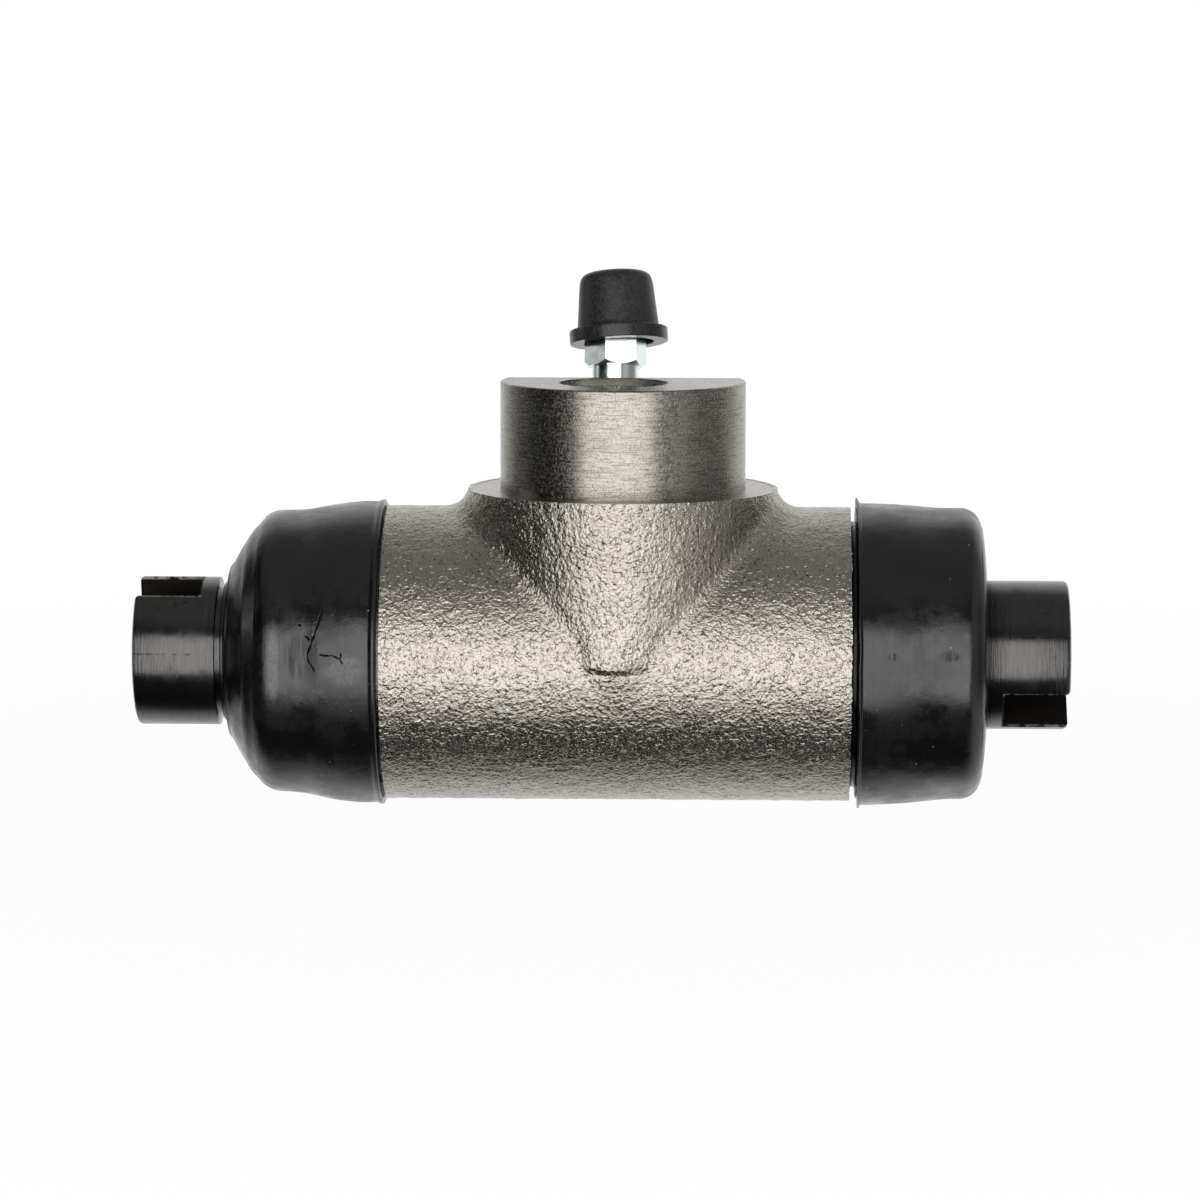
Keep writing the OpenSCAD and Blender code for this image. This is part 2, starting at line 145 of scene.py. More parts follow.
def pick(piece, editing=False):
    """Makes one piece the only selected one."""
    let_go()
    piece.select_set(True)
    bpy.context.view_layer.objects.active = piece
    if editing:
        bpy.ops.object.mode_set(mode="EDIT")
        bpy.ops.mesh.select_all(action="SELECT")


def clear_picks(piece, kind):
    """Sets what is picked in edit mode, points, edges or faces, and leaves nothing picked."""
    pick(piece, editing=True)
    bpy.ops.mesh.select_mode(type=kind)
    bpy.ops.mesh.select_all(action="DESELECT")
    let_go()


def edit_picked(piece):
    """Opens a piece in edit mode with its picks as they are."""
    pick(piece)
    bpy.ops.object.mode_set(mode="EDIT")


def apply_modifier(piece, kind, **settings):
    """Adds one modifier, sets it up and applies it."""
    pick(piece)
    modifier = piece.modifiers.new(kind.lower(), kind)
    for name, value in settings.items():
        setattr(modifier, name, value)
    bpy.ops.object.modifier_apply(modifier=modifier.name)


def turn_on_lathe(name, outline, steps, along_x=True):
    """Extrudes a point along an outline of (place on the axis, radius) in millimetres and spins it."""
    def spot(place, radius):
        if along_x:
            return Vector((place * MM, 0, BARREL_Z + radius * MM))
        return Vector((radius * MM, 0, place * MM))

    let_go()
    bpy.ops.mesh.primitive_plane_add(size=1 * MM)
    piece = bpy.context.object
    piece.name = name
    bpy.ops.object.mode_set(mode="EDIT")
    bpy.ops.mesh.merge(type="CENTER")
    points = [spot(*p) for p in outline]
    bpy.ops.transform.translate(value=points[0])
    for here, there in zip(points, points[1:]):
        bpy.ops.mesh.extrude_region_move(TRANSFORM_OT_translate={"value": there - here})
    bpy.ops.mesh.select_all(action="SELECT")
    bpy.ops.mesh.spin(
        steps=steps,
        angle=2 * math.pi,
        center=(0, 0, BARREL_Z) if along_x else (0, 0, 0),
        axis=(1, 0, 0) if along_x else (0, 0, 1),
    )
    bpy.ops.mesh.select_all(action="SELECT")
    bpy.ops.mesh.remove_doubles(threshold=MERGE)
    bpy.ops.mesh.dissolve_degenerate(threshold=MERGE)
    bpy.ops.mesh.normals_make_consistent(inside=False)
    bpy.ops.object.mode_set(mode="OBJECT")
    return piece


def smooth_edges(piece, degrees):
    """Shades a piece smooth, except across corners sharper than an angle."""
    pick(piece)
    bpy.ops.object.shade_smooth_by_angle(angle=math.radians(degrees))


def arc(place, radius, bend, start, stop, count):
    """Points of a rounded corner in an outline, angles in degrees."""
    angles = [math.radians(start + (stop - start) * i / count) for i in range(count + 1)]
    return [(place + bend * math.cos(a), radius + bend * math.sin(a)) for a in angles]


print("lathe ready, barrel axis at z =", round(BARREL_Z / MM, 2), "mm")

# %% [markdown]
# ## Helpers for finishes
#
# Every finish is a Principled shader with a few noise patterns on Object coordinates. The patterns stay on
# the metal when the part turns or moves, and their scale is given in millimetres, as a maker would say it.

# %% Small words for shader nodes
def shader_node(tree, kind, inputs=None, **settings):
    """Adds one node, sets it up, and links or fills its inputs."""
    made = tree.nodes.new("ShaderNode" + kind)
    for name, value in settings.items():
        setattr(made, name, value)
    for name, value in (inputs or {}).items():
        if isinstance(value, bpy.types.NodeSocket):
            tree.links.new(value, made.inputs[name])
        else:
            made.inputs[name].default_value = value
    return made


def start_finish(name):
    """A new material with its node tree, its shader and its Object coordinates."""
    material = bpy.data.materials.new(name)
    material.use_nodes = True
    tree = material.node_tree
    shader = tree.nodes["Principled BSDF"]
    place = shader_node(tree, "TexCoord").outputs["Object"]
    return material, tree, shader, place


def grain(tree, place, size, detail=2.0, rough=0.5):
    """Noise whose lumps are about size millimetres wide."""
    inputs = {"Vector": place, "Scale": 1 / (size * MM), "Detail": detail, "Roughness": rough}
    return shader_node(tree, "TexNoise", inputs).outputs["Fac"]


def between(tree, value, low, high, to_low=0.0, to_high=1.0):
    """Smooth step of a value from one range to another."""
    inputs = {"Value": value, "From Min": low, "From Max": high, "To Min": to_low, "To Max": to_high}
    return shader_node(tree, "MapRange", inputs, interpolation_type="SMOOTHSTEP").outputs["Result"]


def calculate(tree, operation, first, second=0.0):
    """One step of arithmetic."""
    return shader_node(tree, "Math", {0: first, 1: second}, operation=operation).outputs[0]


def times(tree, first, second):
    """The product of two values."""
    return calculate(tree, "MULTIPLY", first, second)


def plus(tree, first, second):
    """The sum of two values."""
    return calculate(tree, "ADD", first, second)


def minus(tree, first, second):
    """The first value less the second."""
    return calculate(tree, "SUBTRACT", first, second)


def larger(tree, first, second):
    """The larger of two values."""
    return calculate(tree, "MAXIMUM", first, second)


def blend_colour(tree, share, first, second):
    """Mixes two colours."""
    made = shader_node(tree, "Mix", {0: share}, data_type="RGBA")
    for socket, value in ((made.inputs[6], first), (made.inputs[7], second)):
        if isinstance(value, bpy.types.NodeSocket):
            tree.links.new(value, socket)
        else:
            socket.default_value = (*value, 1)
    return made.outputs[2]


def relief(tree, height, depth, strength, under=None):
    """Bump of a height pattern, depth in millimetres."""
    inputs = {"Height": height, "Distance": depth * MM, "Strength": strength}
    if under:
        inputs["Normal"] = under
    return shader_node(tree, "Bump", inputs).outputs["Normal"]


def put_together(tree, x, y, z):
    """One place from three coordinates."""
    return shader_node(tree, "CombineXYZ", {0: x, 1: y, 2: z}).outputs[0]


def axis_parts(tree, place):
    """The X, Y and Z of a place or a direction."""
    made = shader_node(tree, "SeparateXYZ", {0: place})
    return made.outputs[0], made.outputs[1], made.outputs[2]


def ring_distance(tree, first, second):
    """Distance from an axis, from two coordinates across it."""
    return calculate(tree, "SQRT", plus(tree, times(tree, first, first), times(tree, second, second)))


def fill_shader(tree, shader, colour, dull, normal=None, metallic=0.0):
    """Links the patterns of a finish to its shader, dull is the roughness."""
    tree.links.new(colour, shader.inputs["Base Color"])
    tree.links.new(dull, shader.inputs["Roughness"])
    if normal:
        tree.links.new(normal, shader.inputs["Normal"])
    shader.inputs["Metallic"].default_value = metallic


def paint(piece, material):
    """Gives a piece its finish."""
    piece.data.materials.clear()
    piece.data.materials.append(material)


print("finish helpers ready")

# %% [markdown]
# ## Studio
#
# The photograph has one broad soft light around the lens, a white ground and a white backdrop, and mostly
# darkness to the sides. That gives the metal its bright middle band, its dark flanks and its pale rims. To
# scattered light the floor is chalk. To the camera it is plain white, with a trace of grey near the part.

# %% Lay the white floor
FLOOR_Z = cad_low.z - 0.1 * MM
FLOOR_SIZE = 12
GREY_FROM = 70 * MM
GREY_TO = 260 * MM
GREY_LEVEL = 0.97

let_go()
bpy.ops.mesh.primitive_plane_add(size=FLOOR_SIZE, location=(0, 0, FLOOR_Z))
floor = bpy.context.object
floor.name = "studio_floor"
bpy.ops.object.transform_apply(location=True, rotation=True, scale=True)
floor.visible_glossy = False
floor.visible_shadow = False

floor_paint, tree, shader, place = start_finish("pale_floor")
seen = shader_node(tree, "LightPath")
shown = larger(tree, seen.outputs["Is Camera Ray"], seen.outputs["Is Glossy Ray"])
shown = larger(tree, shown, seen.outputs["Is Transmission Ray"])
east, north, up = axis_parts(tree, place)
away = between(tree, ring_distance(tree, east, north), GREY_FROM, GREY_TO, GREY_LEVEL, 1.0)
chalk = shader_node(tree, "BsdfDiffuse", {"Color": (0.86, 0.86, 0.86, 1)})
white = shader_node(tree, "Emission", {"Color": (1, 1, 1, 1), "Strength": 1.0})
cover = shader_node(tree, "MixShader", {
    0: times(tree, shown, away), 1: chalk.outputs[0], 2: white.outputs[0]})
tree.links.new(cover.outputs[0], tree.nodes["Material Output"].inputs["Surface"])
tree.nodes.remove(shader)
paint(floor, floor_paint)
print("floor at z =", round(FLOOR_Z / MM, 2), "mm")

# %% [markdown]
# The soft light is one large area lamp behind the camera and a little to its left. It is more than a metre
# wide, so the bright band on each round piece is broad and has soft ends.

# %% Hang the soft lamp
LAMP_DISTANCE = 900 * MM
LAMP_SIDE = -70 * MM
LAMP_Z = -20 * MM
LAMP_WIDTH = 1240 * MM
LAMP_HEIGHT = 1010 * MM
LAMP_POWER = 9.3

let_go()
bpy.ops.object.light_add(type="AREA", location=(LAMP_SIDE, -LAMP_DISTANCE, LAMP_Z))
lamp = bpy.context.object
lamp.name = "soft_box"
lamp.rotation_euler = (Vector((0, 0, LAMP_Z)) - lamp.location).to_track_quat("-Z", "Y").to_euler()
lamp.data.shape = "RECTANGLE"
lamp.data.size = LAMP_WIDTH
lamp.data.size_y = LAMP_HEIGHT
lamp.data.energy = LAMP_POWER
print("lamp of", LAMP_POWER, "W")

# %% [markdown]
# The world stands for the rest of the studio. To the camera it is plain white. In the metal it shows a white
# backdrop that is dimmer on the left, a soft ceiling, a grey wall on the right that is lighter low down, and
# a small patch of wall at the far left. Scattered light gets an even fill. Each part of the room is a range
# of directions: east is right in the picture, ahead is away from the camera.

# %% Paint the world
BACKDROP = 1.0
CEILING = 0.28
RIGHT_WALL = 0.42
LEFT_WALL = 0.7
FILL = 0.22

world = bpy.data.worlds.new("white_studio")
bpy.context.scene.world = world
world.use_nodes = True
sky = world.node_tree
ray = shader_node(sky, "LightPath")
east, ahead, up = axis_parts(sky, shader_node(sky, "TexCoord").outputs["Generated"])
west = times(sky, east, -1.0)

under = larger(sky, times(sky, up, -0.3), 0.0)
backdrop = between(sky, plus(sky, ahead, under), 0.3, 0.8, 0.03, BACKDROP)
dim = times(sky, between(sky, west, 0.4, 0.8), between(sky, up, -0.02, 0.16, 0.42, 0.9))
backdrop = times(sky, backdrop, minus(sky, 1.0, dim))
ceiling = between(sky, up, 0.5, 0.85, 0.0, CEILING)
right_wall = between(sky, east, 0.45, 0.7, 0.0, RIGHT_WALL)
right_wall = times(sky, right_wall, between(sky, east, 0.86, 0.97, 1.0, 0.55))
right_wall = times(sky, right_wall, between(sky, up, -0.5, -0.18, 1.7, 1.0))
left_wall = times(sky, between(sky, west, 0.86, 0.94), between(sky, up, -0.04, 0.1, 0.0, LEFT_WALL))
left_wall = times(sky, left_wall, between(sky, ahead, 0.02, 0.12))
room = larger(sky, larger(sky, backdrop, ceiling), larger(sky, right_wall, left_wall))

mirrored = larger(sky, ray.outputs["Is Glossy Ray"], ray.outputs["Is Transmission Ray"])
level = larger(sky, times(sky, mirrored, room), ray.outputs["Is Camera Ray"])
level = larger(sky, level, times(sky, minus(sky, 1.0, mirrored), FILL))
sky.links.new(level, sky.nodes["Background"].inputs["Strength"])
sky.nodes["Background"].inputs["Color"].default_value = (1, 1, 1, 1)
bpy.context.scene.view_settings.view_transform = "Standard"
print("world with a fill of", FILL)

# %% [markdown]
# ## Cast skin
#
# The barrel and its stem keep the skin of the sand mould: lumps of about one to three millimetres
# that sparkle under the lamp. A bump map alone would leave a ruler-straight outline, so the skin is real
# geometry. A copy of the CAD casting is made longer at its machined faces, turned into an even mesh with a
# voxel remesh, and roughened with displacement. Cutting it at the machined faces afterwards gives the
# ragged edge that a lathe tool leaves on a casting.

# %% Copy the casting and run it past its machined faces
LEFT_SHOULDER = -30.1 * MM
RIGHT_SHOULDER = 29.05 * MM
BARREL_R = 18.7 * MM
STEM_R = 19.6 * MM
OVERRUN = 1.1 * MM
SKIN_VOXEL = 0.36 * MM
SKIN_SIDES = 192


def cut_at_faces(past, fill):
    """Cuts what is in edit mode a little past the seat and past the two shoulders of the barrel."""
    planes = (
        ((0, 0, past), (0, 0, 1)),
        ((LEFT_SHOULDER - past, 0, 0), (-1, 0, 0)),
        ((RIGHT_SHOULDER + past, 0, 0), (1, 0, 0)),
    )
    for point, normal in planes:
        bpy.ops.mesh.select_all(action="SELECT")
        bpy.ops.mesh.bisect(plane_co=point, plane_no=normal, clear_outer=True, use_fill=fill)


skin = bpy.data.objects.new("cast_skin", nodes_of_cad["cylinder_body"].data.copy())
bpy.context.scene.collection.objects.link(skin)
pick(skin, editing=True)
bpy.ops.mesh.remove_doubles(threshold=MERGE)
cut_at_faces(OVERRUN / 2, fill=True)
bpy.ops.mesh.primitive_cylinder_add(
    vertices=SKIN_SIDES, radius=BARREL_R, depth=RIGHT_SHOULDER - LEFT_SHOULDER + 2 * OVERRUN,
    location=((LEFT_SHOULDER + RIGHT_SHOULDER) / 2, 0, BARREL_Z), rotation=(0, math.pi / 2, 0))
bpy.ops.mesh.primitive_cylinder_add(
    vertices=SKIN_SIDES, radius=STEM_R, depth=2 * OVERRUN, location=(0, 0, 0))
let_go()
apply_modifier(skin, "REMESH", mode="VOXEL", voxel_size=SKIN_VOXEL)
print("even skin with", len(skin.data.polygons), "faces")

# %% [markdown]
# A little smoothing takes off the steps of the remesh. The whole skin then swells by a tenth of a
# millimetre, and two cloud textures push it in and out: first the broad lumps of the mould, then the sand.

# %% Roughen the skin
SKIN_SWELL = 0.10 * MM
SKIN_CLOUDS = (("mould_lumps", 2.8, 0.14), ("sand_grain", 0.75, 0.13))


def cloud(name, size):
    """A cloud texture with lumps of a size in millimetres."""
    texture = bpy.data.textures.new(name, "CLOUDS")
    texture.noise_scale = size * MM
    texture.noise_depth = 1
    return texture


apply_modifier(skin, "SMOOTH", factor=0.5, iterations=2)
apply_modifier(skin, "DISPLACE", strength=SKIN_SWELL, mid_level=0.0)
for name, size, height in SKIN_CLOUDS:
    apply_modifier(
        skin, "DISPLACE", texture=cloud(name, size), texture_coords="LOCAL",
        strength=height * MM, mid_level=0.5)
print("skin reaches", [round(v / MM, 2) for v in skin.dimensions])

# %% [markdown]
# At the front the stem runs down the barrel as a narrow tongue and stops in a small ragged ledge, where the
# two halves of the pattern met. Its points are pushed out in a loop: more towards the ledge, and nothing
# below it. The tongue has a clear left side and fades out to the right. The small step where the CAD stem
# ends just below is filled to a slope.

# %% Raise the tongue that ends in a ledge
LEDGE_Z = -21.2 * MM
LEDGE_STEP = 0.42 * MM
LEDGE_SAG = 0.25 * MM
LEDGE_SOFT = 0.15 * MM
TONGUE_TOP = -13.0 * MM
TONGUE_X = -0.55 * MM
TONGUE_HALF = 3.5 * MM
FRONT_Y = -15 * MM
STEM_FOOT = -21.9 * MM
FOOT_R = 18.96 * MM
FOOT_HALF = 3.2 * MM
FOOT_SLOPE = 3 * MM


def step(value, low, high):
    """Smooth step from 0 to 1."""
    share = min(max((value - low) / (high - low), 0.0), 1.0)
    return share * share * (3 - 2 * share)


for vertex in skin.data.vertices:
    x, y, z = vertex.co
    if y > FRONT_Y or abs(x - TONGUE_X) > 2.4 * TONGUE_HALF:
        continue
    ragged = 0.26 * MM * noise.noise(vertex.co * 900) + 0.16 * MM * noise.noise(vertex.co * 2300)
    edge = LEDGE_Z + ragged + LEDGE_SAG * ((x - TONGUE_X) / TONGUE_HALF) ** 2
    along = step(z, edge - LEDGE_SOFT, edge + LEDGE_SOFT) * (1 - step(z, LEDGE_Z + 1 * MM, TONGUE_TOP))
    above = max(z - LEDGE_Z, 0.0)
    widen = TONGUE_HALF + 0.2 * above
    soft = 0.4 * MM + 0.35 * above
    left_side = step(x - TONGUE_X, -widen - soft, -widen + soft)
    right_side = 1 - step(x - TONGUE_X, widen - 3.2 * MM, widen + 2.2 * MM)
    vertex.co.y -= LEDGE_STEP * along * left_side * right_side
    grit = (0.12 + 0.05 * noise.noise(vertex.co * 1300)) * MM
    proud = max(math.sqrt(FOOT_R ** 2 - x ** 2) - BARREL_R, 0.0) + grit
    if abs(x) < FOOT_HALF and STEM_FOOT - FOOT_SLOPE < z < STEM_FOOT + 0.1 * MM:
        barrel_y = -math.sqrt(BARREL_R ** 2 - (z - BARREL_Z) ** 2)
        filled = barrel_y - proud * (1 - step(STEM_FOOT - z, -0.1 * MM, FOOT_SLOPE))
        vertex.co.y = min(vertex.co.y, filled)
print("ledge at z =", round(LEDGE_Z / MM, 1), "mm")

# %% [markdown]
# The rough skin is now cut at the machined faces, as the lathe tool would do it. The bore and the drillings
# came along with the copy. They are loose from the outside now, so only what hangs together with the
# foremost point is kept.

# %% Cut the skin back to the machined faces
SKIN_LAP = 0.03 * MM

pick(skin, editing=True)
cut_at_faces(SKIN_LAP, fill=False)
clear_picks(skin, "VERT")
front = min(range(len(skin.data.vertices)), key=lambda i: skin.data.vertices[i].co.y)
skin.data.vertices[front].select = True
edit_picked(skin)
bpy.ops.mesh.select_linked()
bpy.ops.mesh.select_all(action="INVERT")
bpy.ops.mesh.delete(type="VERT")
let_go()
print("outer skin with", len(skin.data.polygons), "faces")

# %% [markdown]
# The skin is open along its three cuts. Each open edge is extruded and drawn in towards its axis, so that the
# skin laps over the machined face and no gap shows.

# %% Turn the skin's edges in over the casting
LAP_SHARE = 0.972
ON_PLANE = 0.002 * MM
left_cut = LEFT_SHOULDER - SKIN_LAP
right_cut = RIGHT_SHOULDER + SKIN_LAP
laps = (
    (2, SKIN_LAP, (0, 0, SKIN_LAP), (LAP_SHARE, LAP_SHARE, 1)),
    (0, left_cut, (left_cut, 0, BARREL_Z), (1, LAP_SHARE, LAP_SHARE)),
    (0, right_cut, (right_cut, 0, BARREL_Z), (1, LAP_SHARE, LAP_SHARE)),
)
for axis, plane, middle, share in laps:
    clear_picks(skin, "EDGE")
    spots = [v.co[axis] for v in skin.data.vertices]
    for edge in skin.data.edges:
        edge.select = all(abs(spots[i] - plane) < ON_PLANE for i in edge.vertices)
    edit_picked(skin)
    bpy.ops.mesh.extrude_edges_move()
    bpy.ops.transform.resize(value=share, center_override=middle)
clear_picks(skin, "VERT")
smooth_edges(skin, 60)
print("skin done with", len(skin.data.polygons), "faces")

# %% [markdown]
# The finish of the skin is bare grey iron with a trace of warm brown. Fine grain in the bump gives the
# sparkle between the modelled lumps, and the pits of the sand are painted a little darker, as painted shade.

# %% Finish of the cast skin
cast_iron, tree, shader, place = start_finish("cast_iron_skin")
sand = grain(tree, place, 0.46, detail=3.0, rough=0.6)
crumbs = between(tree, grain(tree, place, 0.62, detail=1.0), 0.50, 0.72)
lumps = grain(tree, place, 2.2, detail=2.0)
stain = grain(tree, place, 11, detail=3.0)
# Painted shade: the low spots of the sand grain get a darker colour.
pit_shade = between(tree, sand, 0.28, 0.44)
colour = blend_colour(tree, stain, (0.365, 0.333, 0.290), (0.46, 0.425, 0.374))
colour = blend_colour(tree, pit_shade, (0.17, 0.143, 0.115), colour)
dull = between(tree, lumps, 0.3, 0.7, 0.17, 0.25)
sandy = relief(tree, crumbs, 0.065, 0.9, relief(tree, sand, 0.22, 0.85))
fill_shader(tree, shader, colour, dull, sandy, metallic=1.0)
paint(skin, cast_iron)
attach(skin, "cylinder")
print("cast iron skin painted")

# %% [markdown]
# ## Machined iron
#
# The spigot, the seat and the barrel ends were turned on a lathe, so their lines run round an axis. One
# number that grows along the surface, height plus distance from the axis, gives lines on a cylinder and
# rings on a flat face. The ends of the barrel were turned about the other axis. The top of the spigot has
# tarnished in patches, and the spot face round the port is painted much lighter, a painted reflection.

# %% Finish of the machined faces
SPIGOT_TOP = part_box("cylinder_body")[1].z
PORT_X = -1.1 * MM
PORT_Y = -3.1 * MM
SPOT_FACE_R = 7.0 * MM
END_FROM = 28.6 * MM
END_TO = 28.9 * MM
TOOL_DRIFT = 0.06

turned_iron, tree, shader, place = start_finish("turned_iron")
east, north, up = axis_parts(tree, place)
round_spigot = plus(tree, up, ring_distance(tree, east, north))
round_barrel = plus(tree, east, ring_distance(tree, north, minus(tree, up, BARREL_Z)))
at_end = between(tree, calculate(tree, "ABSOLUTE", east), END_FROM, END_TO)
run = times(tree, round_spigot, minus(tree, 1.0, at_end))
run = plus(tree, run, times(tree, round_barrel, at_end))
line_place = put_together(tree, times(tree, east, TOOL_DRIFT), times(tree, north, TOOL_DRIFT), run)
lines = grain(tree, line_place, 0.16, detail=2.0, rough=0.6)
bands = grain(tree, line_place, 1.7, detail=2.0)
speck = grain(tree, place, 0.24, detail=1.5, rough=0.6)
glints = between(tree, speck, 0.54, 0.74)
pores = between(tree, speck, 0.32, 0.50)

on_top = between(tree, up, SPIGOT_TOP - 0.3 * MM, SPIGOT_TOP - 0.2 * MM)
tarnish = between(tree, grain(tree, place, 0.7, detail=4.0, rough=0.65), 0.40, 0.56)
tarnish = times(tree, tarnish, between(tree, east, -12 * MM, 9 * MM, 0.75, 0.3))
tarnish = times(tree, tarnish, on_top)
# Painted reflection: the spot face round the port is given a much lighter colour.
from_port = ring_distance(tree, minus(tree, east, PORT_X), minus(tree, north, PORT_Y))
spot_face_painted_light = between(tree, from_port, SPOT_FACE_R - 0.1 * MM, SPOT_FACE_R + 0.1 * MM, 0.75, 0.0)
spot_face_painted_light = times(tree, spot_face_painted_light, between(tree, up, SPIGOT_TOP - 3 * MM, SPIGOT_TOP - 1.5 * MM))

colour = blend_colour(tree, bands, (0.32, 0.298, 0.264), (0.415, 0.391, 0.348))
colour = blend_colour(tree, between(tree, lines, 0.34, 0.52), (0.21, 0.194, 0.171), colour)
colour = blend_colour(tree, pores, (0.19, 0.174, 0.152), colour)
colour = blend_colour(tree, spot_face_painted_light, colour, (0.74, 0.70, 0.60))
colour = blend_colour(tree, tarnish, colour, (0.13, 0.124, 0.112))
dull = between(tree, speck, 0.3, 0.7, 0.23, 0.33)
grooved = relief(tree, glints, 0.022, 0.9, relief(tree, lines, 0.04, 0.7))
fill_shader(tree, shader, colour, dull, grooved, metallic=1.0)
nodes_of_cad["cylinder_body"].material_slots[0].material = turned_iron
print("machined faces painted")

# %% [markdown]
# ## Pistons
#
# Each piston is a turned steel bar with a slot across its nose for the brake shoe, blackened in a hot oxide
# bath. The outline goes on the lathe, a cube cuts the slot through a Boolean modifier, and a fine bevel
# breaks the edges, which is where black oxide wears bright first.

# %% Turn a piston and mill its slot
NOSE_R = 9.5
NOSE_LEN = 10.4
GROOVE_R = 8.2
GROOVE_WIDTH = 2.1
SHANK_LEN = 27.0
HEAD_R = 11.85
PISTON_LEN = 39.0
SLOT_WIDTH = 7.0
SLOT_DEPTH = 8.3
NOSE_EDGE = 0.55
HEAD_EDGE = 0.4
MILL_OUT = 2
PISTON_BEVEL = 0.18
LATHE_STEPS = 128
LEFT_END = -62.1
RIGHT_END = 56.9
LEFT_TURN = math.radians(13.5)
RIGHT_TURN = math.radians(-44.2)

piston_outline = [
    (0, 0), (0, NOSE_R - NOSE_EDGE), (NOSE_EDGE * 0.3, NOSE_R - NOSE_EDGE * 0.3), (NOSE_EDGE, NOSE_R),
    (NOSE_LEN, NOSE_R), (NOSE_LEN, GROOVE_R), (NOSE_LEN + GROOVE_WIDTH, GROOVE_R),
    (NOSE_LEN + GROOVE_WIDTH, NOSE_R), (SHANK_LEN, NOSE_R), (SHANK_LEN, HEAD_R - HEAD_EDGE),
    (SHANK_LEN + HEAD_EDGE, HEAD_R), (PISTON_LEN - HEAD_EDGE, HEAD_R), (PISTON_LEN, HEAD_R - HEAD_EDGE),
    (PISTON_LEN, 0),
]


def make_piston(name, end, inward, turn):
    """A piston whose nose ends at X = end and which goes into the bore towards inward, slot turned."""
    outline = [(end + inward * along, radius) for along, radius in piston_outline]
    piston = turn_on_lathe(name, outline, LATHE_STEPS)
    let_go()
    middle = end + inward * (SLOT_DEPTH - MILL_OUT) / 2
    bpy.ops.mesh.primitive_cube_add(size=1, location=(middle * MM, 0, BARREL_Z), rotation=(turn, 0, 0))
    mill = bpy.context.object
    mill.dimensions = ((SLOT_DEPTH + MILL_OUT) * MM, SLOT_WIDTH * MM, 3 * NOSE_R * MM)
    apply_modifier(piston, "BOOLEAN", operation="DIFFERENCE", object=mill, solver="EXACT")
    bpy.data.objects.remove(mill)
    apply_modifier(
        piston, "BEVEL", width=PISTON_BEVEL * MM, segments=2, limit_method="ANGLE",
        angle_limit=math.radians(50))
    smooth_edges(piston, 32)
    return piston


left_piston = make_piston("left_piston_turned", LEFT_END, 1, LEFT_TURN)
right_piston = make_piston("right_piston_turned", RIGHT_END, -1, RIGHT_TURN)
for piston, body in ((left_piston, "left_piston"), (right_piston, "right_piston")):
    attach(piston, body)
    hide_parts(body)
    print(piston.name, "with", len(piston.data.polygons), "faces")

# %% [markdown]
# The black film shows the turning lines below it. It is worn through along the edges of the slot, where the
# brake shoe rubs. Inside the slot it is duller, and its colour is painted darker there as painted shade. The
# place of the slot is known from the turn of each piston, so the wear and the shade are worked out from the
# distance to the slot. One broken scratch runs along the front of each piston.

# %% Finish of the blackened steel
LEFT_SCRATCH = 0.78
RIGHT_SCRATCH = 3.4
TURNING_DRIFT = 0.03


